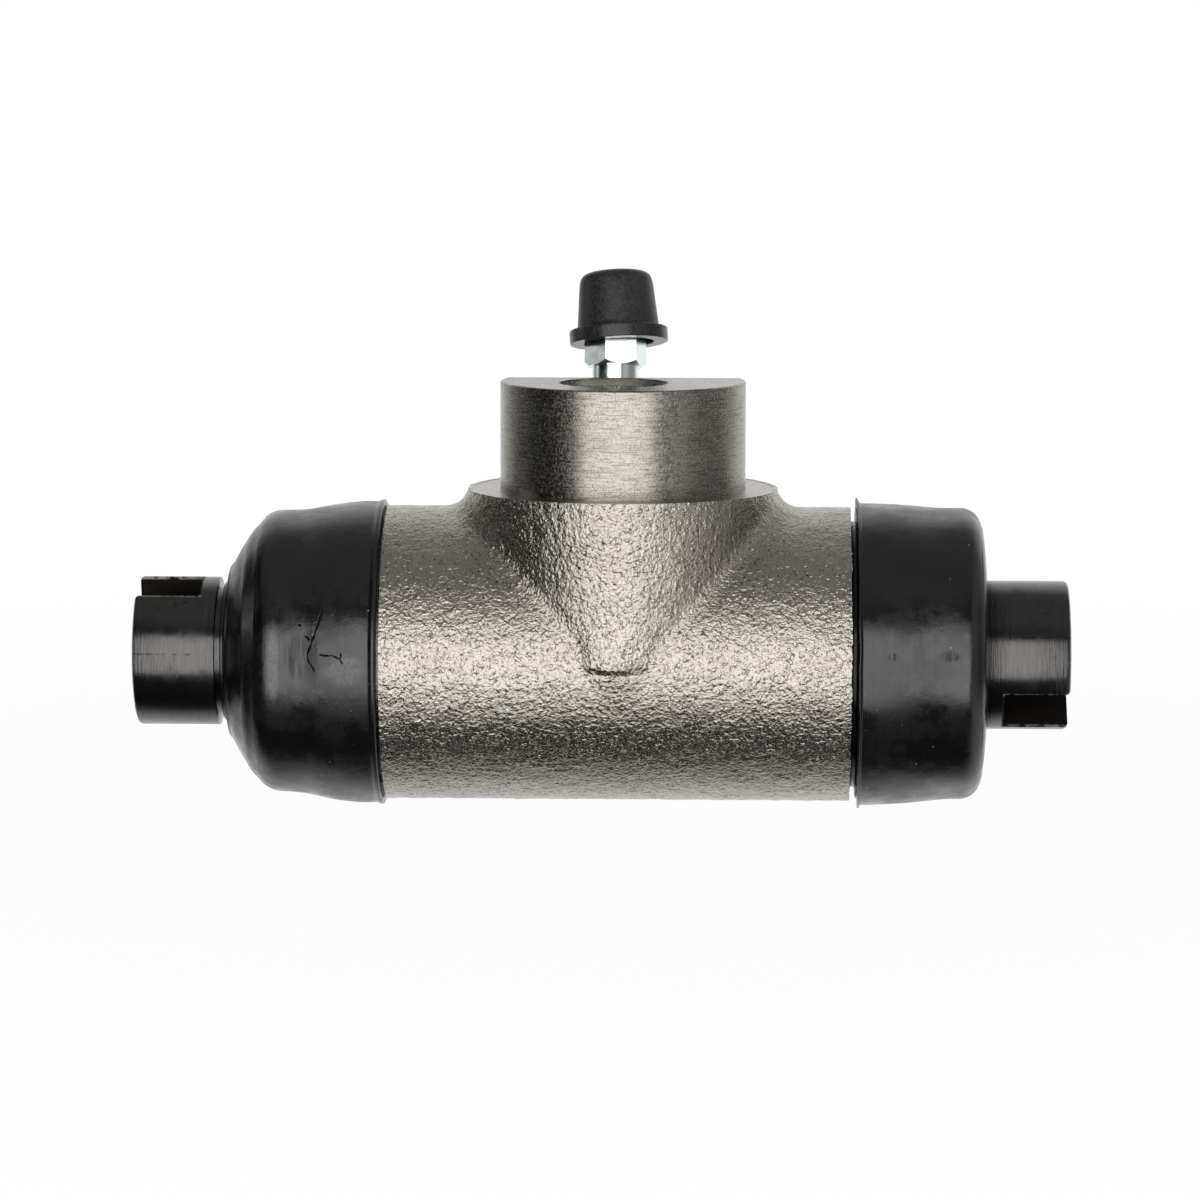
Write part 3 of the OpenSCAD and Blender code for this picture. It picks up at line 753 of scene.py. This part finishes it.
def oxide_finish(name, end, turn, scratch_rise):
    """Black oxide for a piston, from the X of its end, the turn of its slot and the height of a scratch."""
    material, tree, shader, place = start_finish(name)
    east, north, up = axis_parts(tree, place)
    below = minus(tree, up, BARREL_Z)
    radius = ring_distance(tree, north, below)
    along = calculate(tree, "ABSOLUTE", minus(tree, east, end * MM))
    across = plus(tree, times(tree, north, math.cos(turn)), times(tree, below, math.sin(turn)))
    across = calculate(tree, "ABSOLUTE", across)
    side = SLOT_WIDTH / 2
    reach = between(tree, along, (SLOT_DEPTH + 0.1) * MM, (SLOT_DEPTH + 0.3) * MM, 1.0, 0.0)
    slot_painted_shade = between(tree, across, (side + 0.02) * MM, (side + 0.1) * MM, 1.0, 0.0)
    slot_painted_shade = times(tree, slot_painted_shade, reach)

    line_place = put_together(
        tree, plus(tree, east, radius), times(tree, north, TURNING_DRIFT), times(tree, up, TURNING_DRIFT))
    lines = grain(tree, line_place, 0.15, detail=2.0, rough=0.6)
    smear = grain(tree, place, 2.4, detail=5.0, rough=0.62)
    patches = grain(tree, place, 0.9, detail=3.0)
    nicks = between(tree, grain(tree, place, 0.34, detail=1.0), 0.78, 0.83)
    nicks = times(tree, nicks, minus(tree, 1.0, slot_painted_shade))
    off_edge = calculate(tree, "ABSOLUTE", minus(tree, across, side * MM))
    rub = between(tree, off_edge, 0.10 * MM, 0.30 * MM, 1.0, 0.0)
    rub = times(tree, rub, between(tree, radius, (NOSE_R - 0.5) * MM, (NOSE_R - 0.2) * MM))
    rub = times(tree, times(tree, rub, reach), between(tree, patches, 0.36, 0.56))
    off_scratch = calculate(tree, "ABSOLUTE", minus(tree, below, scratch_rise * MM))
    off_scratch = minus(tree, off_scratch, times(tree, smear, 0.16 * MM))
    scratch = between(tree, off_scratch, -0.02 * MM, 0.07 * MM, 1.0, 0.0)
    scratch = times(tree, scratch, between(tree, north, -2 * MM, 0.0, 1.0, 0.0))
    scratch = times(tree, scratch, between(tree, along, 7.6 * MM, 8.6 * MM, 0.7, 0.0))
    scratch = times(tree, scratch, between(tree, patches, 0.42, 0.58))

    colour = blend_colour(tree, lines, (0.066, 0.061, 0.058), (0.115, 0.114, 0.111))
    colour = blend_colour(tree, between(tree, smear, 0.30, 0.42), (0.060, 0.054, 0.051), colour)
    colour = blend_colour(tree, scratch, colour, (0.022, 0.020, 0.019))
    # Painted shade: inside the slot the colour is near black.
    colour = blend_colour(tree, slot_painted_shade, colour, (0.016, 0.013, 0.011))
    colour = blend_colour(tree, larger(tree, nicks, rub), colour, (0.36, 0.35, 0.33))
    dull = plus(tree, between(tree, smear, 0.34, 0.62, 0.26, 0.19), times(tree, slot_painted_shade, 0.4))
    fill_shader(tree, shader, colour, dull, relief(tree, lines, 0.05, 0.8), metallic=1.0)
    return material


paint(left_piston, oxide_finish("left_black_oxide", LEFT_END, LEFT_TURN, LEFT_SCRATCH))
paint(right_piston, oxide_finish("right_black_oxide", RIGHT_END, RIGHT_TURN, RIGHT_SCRATCH))
print("pistons blackened")

# %% [markdown]
# ## Dust boots
#
# A boot is a thin moulded rubber bell. Its rim grips the turned end of the barrel and its small ring sits
# in the groove of the piston. The left one is pulled out into a cone, the right one keeps its cup shape.
# The outline is spun on the lathe and subdivided, so the rubber has no hard corners, and a low noise
# moves the wall in and out a little, as old rubber does.

# %% Spin the two boots
BOOT_STEPS = 56
WAVY_FROM = 17.2


def spoke_to(point):
    """The way from the barrel's axis straight out to a point."""
    return Vector((0, point.y, point.z - BARREL_Z))


def wander(piece, size, height):
    """Moves the outside of a boot in and out by a slow noise."""
    for vertex in piece.data.vertices:
        spoke = spoke_to(vertex.co)
        if spoke.length < WAVY_FROM * MM:
            continue
        vertex.co += spoke.normalized() * height * MM * noise.noise(vertex.co / (size * MM))


left_outer = [
    (30.4, 17.0), (30.4, 18.9), (30.42, 19.42), (30.62, 19.62), (30.95, 19.58), (31.25, 19.36),
    (31.5, 19.30), (31.8, 19.38), (33.0, 19.40), (34.8, 19.28), (36.6, 19.05), (38.2, 18.76), (39.8, 18.4),
    (41.2, 18.2),
] + arc(43.5, 14.64, 3.5, 92, 33, 7) + [
    (47.25, 15.75), (47.5, 15.42), (47.72, 15.12), (47.98, 14.62), (48.7, 13.5), (49.35, 12.35),
    (49.72, 11.62), (49.95, 11.3), (50.12, 11.18), (50.25, 11.0), (50.28, 10.6), (50.26, 10.0), (50.3, 9.5),
    (50.38, 9.12), (50.56, 8.96), (50.8, 8.95), (50.95, 8.9), (51.02, 8.72), (51.0, 8.4), (50.9, 8.27),
    (50.6, 8.26), (50.0, 8.26), (49.74, 8.3), (49.68, 8.5), (49.66, 9.6), (49.5, 10.3),
]
left_inner = [(48.2, 12.3), (46.1, 15.0)] + arc(43.5, 14.64, 1.7, 33, 90, 4) + [
    (42.0, 16.3), (39.8, 16.3), (38.8, 16.36), (38.35, 16.45), (38.3, 16.75), (37.8, 16.82), (35.2, 16.82),
    (34.7, 16.1), (33.5, 16.1), (33.1, 16.82), (31.0, 16.82), (30.4, 17.0),
]
right_outer = [
    (29.08, 16.82), (29.08, 16.95), (29.3, 17.02), (29.7, 17.06), (29.84, 17.2), (29.85, 18.9), (29.85, 19.5),
    (29.88, 19.74), (29.98, 19.84), (30.14, 19.78), (30.24, 19.5), (30.34, 19.38), (30.5, 19.36),
    (31.6, 19.34), (33.4, 19.26), (35.4, 19.12), (37.4, 18.92), (39.4, 18.7), (41.2, 18.6),
] + arc(43.05, 15.7, 2.9, 90, 6, 7) + [
    (46.1, 14.6), (46.24, 13.0), (46.36, 11.5), (46.42, 10.8), (46.42, 9.9), (46.4, 9.66), (46.4, 9.4),
    (46.4, 8.6), (46.36, 8.3), (45.9, 8.26), (44.9, 8.26), (44.5, 8.34), (44.46, 9.6), (44.46, 10.7),
]
right_inner = [(44.35, 12.6), (44.2, 14.6)] + arc(43.05, 15.7, 1.1, 6, 90, 4) + [
    (41.8, 16.4), (39.2, 16.4), (37.8, 16.4), (37.28, 16.45), (37.25, 16.75), (36.75, 16.82),
    (34.15, 16.82), (33.65, 16.1), (32.45, 16.1), (32.05, 16.82), (30.2, 16.8), (29.08, 16.82),
]
left_boot = turn_on_lathe("left_boot_rubber", [(-x, r) for x, r in left_outer + left_inner], BOOT_STEPS)
right_boot = turn_on_lathe("right_boot_rubber", right_outer + right_inner, BOOT_STEPS)
for boot, size, height in ((left_boot, 9.0, 0.16), (right_boot, 6.5, 0.22)):
    apply_modifier(boot, "SUBSURF", levels=2, render_levels=2)
    wander(boot, size, height)
    smooth_edges(boot, 60)
    print(boot.name, "with", len(boot.data.polygons), "faces")

# %% [markdown]
# The rim of the right boot is torn: it gapes at the bottom and a flake stands up at the top. Its end also
# sits a little high on its piston. The points are moved in a loop, with a smooth fall-off.

# %% Tear the rim of the right boot
RIM_FROM = 29.95 * MM
RIM_TO = 30.6 * MM
RIM_R = 18.5 * MM
GAPE = 0.34
TUCK = 0.18
FLAKE = 0.42 * MM
END_LIFT = 0.15 * MM


def clock(point):
    """Angle round the barrel in degrees, 0 at the front and 90 at the top."""
    return math.degrees(math.atan2(point.z - BARREL_Z, -point.y))


def hump(value, middle, half_width):
    """1 in the middle, falling smoothly to 0."""
    return 1 - step(abs(value - middle), 0.0, half_width)


for vertex in right_boot.data.vertices:
    point = vertex.co
    angle = clock(point)
    spoke = spoke_to(point)
    near_rim = 1 - step(point.x, RIM_FROM, RIM_TO)
    near_end = step(point.x, 31 * MM, 46 * MM)
    ragged = noise.noise(Vector((angle / 11, 3.7, 0.2)))
    push = 0.16 * ragged + GAPE * hump(angle, -88, 40) - TUCK * hump(angle, 90, 22)
    if spoke.length > RIM_R:
        point.x += push * MM * near_rim
        point += spoke.normalized() * FLAKE * hump(angle, 88, 15) * near_rim
    point.z += END_LIFT * near_end
print("rim torn")

# %% [markdown]
# The left boot has aged: a forked crack runs over its front, beside a shallow dent. The rubber around it is
# subdivided so that there are enough points, and the points near the line of the crack sink into the wall.
# How deep a point sits is kept in an attribute, so the finish can turn dull in the crack. The line is given
# as places along the barrel in millimetres and angles round it in degrees.

# %% Cut the crack into the left boot
CRACK = (
    ((-37.2, 22.9), (-37.6, 19.3), (-37.9, 16.1), (-38.5, 10.3), (-39.0, 7.2), (-38.8, 4.1), (-38.0, 0.2)),
    ((-37.4, 6.7), (-36.7, 6.1), (-35.6, 6.1), (-34.8, 5.1), (-34.5, 3.7)),
    ((-34.8, 5.1), (-34.7, 6.8)),
    ((-40.1, 18.5), (-39.9, 17.7)),
    ((-39.2, 13.6), (-38.7, 12.2)),
)
CRACK_HALF = 0.085
CRACK_DEPTH = 0.42
CRACK_REACH = 0.75
CRACK_CUTS = 7
CRACK_WAVES = 0.9 * MM
DENT_DEPTH = 0.16
DENT_X = -39.4
DENT_ANGLE = 6
OUTSIDE_R = 17.6 * MM
WALL_R = 18.6
DEGREE = math.radians(1) * WALL_R


def crack_distance(x, angle):
    """Distance in millimetres on the rubber from the nearest branch of the crack."""
    spot = Vector((x, angle * DEGREE))
    best = math.inf
    for branch in CRACK:
        for (x1, a1), (x2, a2) in zip(branch, branch[1:]):
            start, way = Vector((x1, a1 * DEGREE)), Vector((x2 - x1, (a2 - a1) * DEGREE))
            share = min(max((spot - start).dot(way) / way.length_squared, 0.0), 1.0)
            best = min(best, (spot - start - way * share).length)
    return best


clear_picks(left_boot, "FACE")
for face in left_boot.data.polygons:
    outside = spoke_to(face.center).length > OUTSIDE_R
    face.select = outside and crack_distance(face.center.x / MM, clock(face.center)) < CRACK_REACH
edit_picked(left_boot)
bpy.ops.mesh.subdivide(number_cuts=CRACK_CUTS)
clear_picks(left_boot, "VERT")

torn = left_boot.data.attributes.new("crack", "FLOAT", "POINT")
for vertex in left_boot.data.vertices:
    point = vertex.co
    spoke = spoke_to(point)
    if spoke.length < OUTSIDE_R:
        continue
    x, angle = point.x / MM, clock(point)
    sink = DENT_DEPTH * hump(x, DENT_X, 2.2) * hump(angle, DENT_ANGLE, 24)
    if -41 < x < -33 and -4 < angle < 27:
        x += 0.14 * noise.noise(point / CRACK_WAVES + Vector((5, 0, 0)))
        angle += 0.4 * noise.noise(point / CRACK_WAVES + Vector((0, 7, 0)))
        half = CRACK_HALF * (0.8 + 1.3 * noise.noise(point / (0.7 * MM)) + 0.9 * hump(angle, 19, 5))
        torn.data[vertex.index].value = 1 - step(crack_distance(x, angle), 0.3 * half, max(half, 0.05))
        sink += CRACK_DEPTH * torn.data[vertex.index].value
    point -= spoke.normalized() * sink * MM
smooth_edges(left_boot, 60)
print("crack of", len(CRACK), "branches,", len(left_boot.data.polygons), "faces in the boot")

# %% [markdown]
# The rubber is nearly black. Its shine is uneven: a haze of old grease, faint rings from the mould and
# smudges that break the highlight. Two pale patches are painted on the front of the left boot where its shine
# falls: a narrow painted highlight along the shoulder, and a patch right of the crack that is a pale film of
# dust and a painted highlight at once. Single grains of dust sit here and there.

# %% Finish of the boot rubber
RUBBER_IOR = 1.62
RING_DRIFT = 0.07

boot_rubber, tree, shader, place = start_finish("boot_rubber")
east, north, up = axis_parts(tree, place)
ring_place = put_together(tree, east, times(tree, north, RING_DRIFT), times(tree, up, RING_DRIFT))
streaks = grain(tree, ring_place, 0.42, detail=2.0)
haze = grain(tree, place, 4.2, detail=5.0, rough=0.62)
skin_grain = grain(tree, place, 0.4, detail=3.0, rough=0.6)
swell = grain(tree, place, 3.2, detail=2.0)
dust = between(tree, grain(tree, place, 0.5, detail=0.0), 0.865, 0.885)


def spot_on_front(x, z, half_x, half_z):
    """1 on a rounded spot of the front, in millimetres, with a soft edge broken up by the haze."""
    over = calculate(tree, "DIVIDE", minus(tree, east, x * MM), half_x * MM)
    rise = calculate(tree, "DIVIDE", minus(tree, up, z * MM), half_z * MM)
    spread = plus(tree, ring_distance(tree, over, rise), times(tree, haze, 0.8))
    front = between(tree, north, -2 * MM, 2 * MM, 1.0, 0.0)
    return times(tree, between(tree, spread, 0.9, 1.4, 1.0, 0.0), front)


# Pale colour painted where the boot's shine falls: a painted highlight along the shoulder, and dust with a
# painted highlight right of the crack.
sheen_and_dust_film = larger(tree, spot_on_front(-34.2, -21.2, 3.2, 2.6), spot_on_front(-43.3, -20.6, 0.9, 6.0))
sheen_and_dust_film = times(tree, sheen_and_dust_film, between(tree, skin_grain, 0.3, 0.7, 0.3, 0.9))
smudge = larger(tree, spot_on_front(41.3, -19.0, 1.6, 0.9), spot_on_front(34.1, -19.0, 1.0, 0.7))
smudge = larger(tree, smudge, spot_on_front(-40.3, -19.6, 1.9, 3.2))
colour = blend_colour(tree, haze, (0.0016, 0.0015, 0.0015), (0.0042, 0.0041, 0.0041))
colour = blend_colour(tree, sheen_and_dust_film, colour, (0.10, 0.104, 0.107))
colour = blend_colour(tree, dust, colour, (0.22, 0.22, 0.21))
crack = shader_node(tree, "Attribute", attribute_name="crack").outputs["Fac"]
dull = plus(tree, between(tree, haze, 0.42, 0.58, 0.16, 0.28), times(tree, streaks, 0.10))
dull = plus(tree, dull, times(tree, smudge, between(tree, streaks, 0.35, 0.6, 0.0, 0.3)))
dull = plus(tree, dull, times(tree, crack, 0.7))
ringed = relief(tree, streaks, 0.03, 0.5)
wavy = relief(tree, swell, 0.12, 0.5, ringed)
fill_shader(tree, shader, colour, dull, relief(tree, skin_grain, 0.025, 0.5, wavy))
shader.inputs["IOR"].default_value = RUBBER_IOR
for boot in (left_boot, right_boot):
    paint(boot, boot_rubber)
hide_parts("left_boot")
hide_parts("right_boot")
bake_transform(left_boot)
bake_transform(right_boot)
print("boots painted")

# %% [markdown]
# ## Bleed screw and its cap
#
# The bleed screw is zinc plated steel: a cone tip and a thread below, a plain neck, a hexagon and a hose
# nipple. It leans back by thirteen degrees. It is modelled upright and leaned at the end, with the
# rotation applied, so its mesh holds its place.

# %% Turn the bleed screw
BLEED_LEAN = math.radians(-13)
BLEED_FOOT = Vector((-1.2, 8.0, 12.938)) * MM
NECK = 1.9
HEX_TOP = 6.5
CREST_R = 2.98
ROOT_R = 2.62
NIPPLE_R = 2.3
NIPPLE_BORE_R = 0.9
NIPPLE_LEN = 6.39
THREADS = 7
SCREW_STEPS = 64


def lean_back(piece, shift=0.0, rise=0.0, tilt=0.0):
    """Puts an upright piece on the bleed face, with its place in its mesh."""
    stand = Matrix.Translation(BLEED_FOOT) @ Matrix.Rotation(BLEED_LEAN, 4, "X")
    stand = stand @ Matrix.Translation((shift * MM, 0, rise * MM)) @ Matrix.Rotation(tilt, 4, "Y")
    pick(piece)
    piece.matrix_world = stand
    bpy.ops.object.transform_apply(location=True, rotation=True, scale=True)


thread = []
for i in range(THREADS):
    thread += [(-7.4 + i, ROOT_R), (-7.15 + i, CREST_R), (-6.95 + i, CREST_R), (-6.7 + i, ROOT_R)]
shaft_outline = [(-9.9, 0), (-9.9, 1.4), (-8.7, 2.6), (-8.5, 2.66)] + thread + [
    (-0.4, ROOT_R), (-0.1, CREST_R), (NECK + 0.2, CREST_R), (NECK + 0.2, NIPPLE_R), (HEX_TOP - 0.3, NIPPLE_R),
    (HEX_TOP + 3.4, NIPPLE_R), (HEX_TOP + 4.2, 2.9), (HEX_TOP + 4.5, 2.8), (HEX_TOP + 6.2, 1.8),
    (HEX_TOP + NIPPLE_LEN, 1.6), (HEX_TOP + NIPPLE_LEN, NIPPLE_BORE_R), (HEX_TOP + 2.0, NIPPLE_BORE_R),
    (HEX_TOP + 2.0, 0),
]
screw = turn_on_lathe("bleed_screw_turned", shaft_outline, SCREW_STEPS, along_x=False)
print("screw turned with", THREADS, "grooves for its thread")

# %% [markdown]
# A hexagon bar is chamfered on the lathe, which leaves a curved edge at the end of each flat. So a six-sided
# cylinder is cut with a turned crown, its edges are broken by a bevel, and it is joined to the screw.

# %% Add the hexagon
HEX_FLATS = 7.0
HEX_TURN = math.radians(12.5 - 30)
HEX_EDGE = 0.65
HEX_BEVEL = 0.12
CROWN_STEPS = 96

let_go()
bpy.ops.mesh.primitive_cylinder_add(
    vertices=6, radius=HEX_FLATS / 2 / math.cos(math.pi / 6) * MM, depth=(HEX_TOP - NECK) * MM,
    location=(0, 0, (NECK + HEX_TOP) / 2 * MM), rotation=(0, 0, HEX_TURN))
hexagon = bpy.context.object
bpy.ops.object.transform_apply(location=True, rotation=True, scale=True)
rim = HEX_FLATS / 2
crown = turn_on_lathe("hexagon_crown", [
    (NECK, 0), (NECK, rim + 0.02), (NECK + 0.62, rim + HEX_EDGE), (HEX_TOP - 0.45, rim + HEX_EDGE),
    (HEX_TOP, rim + 0.05), (HEX_TOP, 0)], CROWN_STEPS, along_x=False)
apply_modifier(hexagon, "BOOLEAN", operation="INTERSECT", object=crown, solver="EXACT")
bpy.data.objects.remove(crown)
apply_modifier(
    hexagon, "BEVEL", width=HEX_BEVEL * MM, segments=2, limit_method="ANGLE", angle_limit=math.radians(22))
let_go()
hexagon.select_set(True)
screw.select_set(True)
bpy.context.view_layer.objects.active = screw
bpy.ops.object.join()
smooth_edges(screw, 12)
lean_back(screw)
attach(screw, "bleed_screw")
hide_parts("bleed_screw")
print(screw.name, "with", len(screw.data.polygons), "faces")

# %% [markdown]
# The cap is a moulded rubber bell with a brim. It sits on the nipple a little crooked. Its outline is spun
# and subdivided like a boot, with close pairs of points where the brim has to keep its edges.

# %% Model the dust cap
CAP_RISE = 5.0
CAP_SHIFT = 0.45
CAP_TILT = math.radians(-3.2)
CAP_STEPS = 56

cap_outline = [
    (5.66, 0), (5.66, 3.3), (1.95, 3.32), (1.9, 4.5), (0.06, 4.5), (0, 4.56), (0, 4.7), (0, 6.0), (0, 6.22),
    (0.02, 6.3), (0.1, 6.36), (0.25, 6.37), (1.5, 6.37), (1.66, 6.36), (1.74, 6.28), (1.76, 6.16),
    (1.76, 5.6), (1.78, 5.42), (1.9, 5.32), (2.3, 5.25), (4.5, 5.05), (6.6, 4.87), (7.9, 4.74), (8.55, 4.55),
    (8.98, 4.12), (9.18, 3.5), (9.28, 2.4), (9.31, 1.2), (9.32, 0.55), (9.42, 0.46), (9.54, 0.34), (9.56, 0),
]
cap = turn_on_lathe("bleed_cap_rubber", cap_outline, CAP_STEPS, along_x=False)
apply_modifier(cap, "SUBSURF", levels=2, render_levels=2)
smooth_edges(cap, 50)
lean_back(cap, CAP_SHIFT, CAP_RISE, CAP_TILT)
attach(cap, "bleed_cap")
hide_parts("bleed_cap")
print(cap.name, "with", len(cap.data.polygons), "faces")

# %% [markdown]
# Zinc is bright and slightly green, with soft clouds in its shine. The cap is matt rubber with a fine
# bloom, and its brim is polished a little by fingers. The brim is found by the height along the leaning axis.

# %% Finishes of zinc and cap rubber
zinc, tree, shader, place = start_finish("zinc_plate")
cloudy = grain(tree, place, 1.3, detail=3.0, rough=0.6)
fine = grain(tree, place, 0.16, detail=2.0)
colour = blend_colour(tree, cloudy, (0.73, 0.81, 0.795), (0.88, 0.955, 0.94))
dull = between(tree, cloudy, 0.3, 0.7, 0.15, 0.27)
fill_shader(tree, shader, colour, dull, relief(tree, fine, 0.012, 0.5), metallic=1.0)
paint(screw, zinc)

cap_finish, tree, shader, place = start_finish("cap_rubber")
east, north, up = axis_parts(tree, place)
rise = plus(tree, times(tree, north, -math.sin(BLEED_LEAN)), times(tree, up, math.cos(BLEED_LEAN)))
foot_rise = BLEED_FOOT.z * math.cos(BLEED_LEAN) - BLEED_FOOT.y * math.sin(BLEED_LEAN)
brim = between(tree, rise, foot_rise + (CAP_RISE + 1.7) * MM, foot_rise + (CAP_RISE + 2.3) * MM, 1.0, 0.0)
bloom = grain(tree, place, 0.36, detail=3.0, rough=0.6)
matt = grain(tree, place, 0.3, detail=3.0, rough=0.6)
colour = blend_colour(
    tree, between(tree, bloom, 0.3, 0.7), (0.013, 0.0118, 0.0111), (0.036, 0.0333, 0.0315))
dull = minus(tree, between(tree, bloom, 0.3, 0.7, 0.33, 0.47), times(tree, brim, 0.14))
fill_shader(tree, shader, colour, dull, relief(tree, matt, 0.03, 0.6))
paint(cap, cap_finish)
print("zinc and cap rubber done")

# %% [markdown]
# ## Inside the bore
#
# Two rubber cups, two pressed steel expanders and a coil spring sit between the pistons. They are seen only
# in a cut-away, but they move: each end of the spring follows its own piston. So the spring is made in two
# halves with a Screw modifier.

# %% Wind the two halves of the spring
SPRING_LOW = -18.8
SPRING_HIGH = 13.6
SPRING_R = 6.0
WIRE_R = 0.55
HALF_TURNS = 4
WIRE_SIDES = 12
STEPS_A_TURN = 24
spring_mid = (SPRING_LOW + SPRING_HIGH) / 2


def wind_spring(name, start, stop):
    """Half of the spring, a ring of wire swept along a screw line about the barrel axis."""
    let_go()
    bpy.ops.mesh.primitive_circle_add(
        vertices=WIRE_SIDES, radius=WIRE_R * MM, location=(0, 0, SPRING_R * MM), rotation=(math.pi / 2, 0, 0))
    coil = bpy.context.object
    coil.name = name
    bpy.ops.object.transform_apply(location=True, rotation=True, scale=True)
    apply_modifier(
        coil, "SCREW", axis="X", angle=2 * math.pi * HALF_TURNS, screw_offset=(stop - start) * MM,
        steps=STEPS_A_TURN * HALF_TURNS, render_steps=STEPS_A_TURN * HALF_TURNS)
    coil.data.transform(Matrix.Translation((start * MM, 0, BARREL_Z)))
    pick(coil, editing=True)
    bpy.ops.mesh.select_all(action="DESELECT")
    bpy.ops.mesh.select_non_manifold()
    bpy.ops.mesh.edge_face_add()
    bpy.ops.mesh.select_all(action="SELECT")
    bpy.ops.mesh.normals_make_consistent(inside=False)
    let_go()
    smooth_edges(coil, 50)
    return coil


left_coil = wind_spring("return_spring_left", spring_mid, SPRING_LOW)
right_coil = wind_spring("return_spring_right", spring_mid, SPRING_HIGH)
middle = (spring_mid * MM, 0, BARREL_Z)
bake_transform(left_coil)
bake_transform(right_coil)
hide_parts("return_spring")
print("spring of", 2 * HALF_TURNS, "turns")

# %% [markdown]
# The spring is drawn wire, the expanders are pressed from yellow passivated sheet, and the cups are rubber
# wet with brake fluid. Each gets one slow noise for its colour and its shine.

# %% Finishes inside the bore
def plain_finish(name, size, colours, dulls, metallic):
    """A finish from one noise, with two colours and two levels of roughness."""
    material, tree, shader, place = start_finish(name)
    pattern = grain(tree, place, size, detail=3.0)
    colour = blend_colour(tree, pattern, *colours)
    fill_shader(tree, shader, colour, between(tree, pattern, 0.3, 0.7, *dulls), metallic=metallic)
    return material


spring_wire = plain_finish("spring_wire", 0.4, ((0.30, 0.30, 0.30), (0.46, 0.45, 0.44)), (0.28, 0.42), 1.0)
pressed = plain_finish("pressed_steel", 1.6, ((0.42, 0.39, 0.32), (0.58, 0.55, 0.47)), (0.26, 0.40), 1.0)
seal = plain_finish("seal_rubber", 3.0, ((0.010, 0.010, 0.010), (0.020, 0.020, 0.020)), (0.2, 0.4), 0.0)
for coil in (left_coil, right_coil):
    paint(coil, spring_wire)
for side in ("left", "right"):
    nodes_of_cad[side + "_expander"].material_slots[0].material = pressed
    nodes_of_cad[side + "_cup"].material_slots[0].material = seal
print("seals, expanders and spring painted")
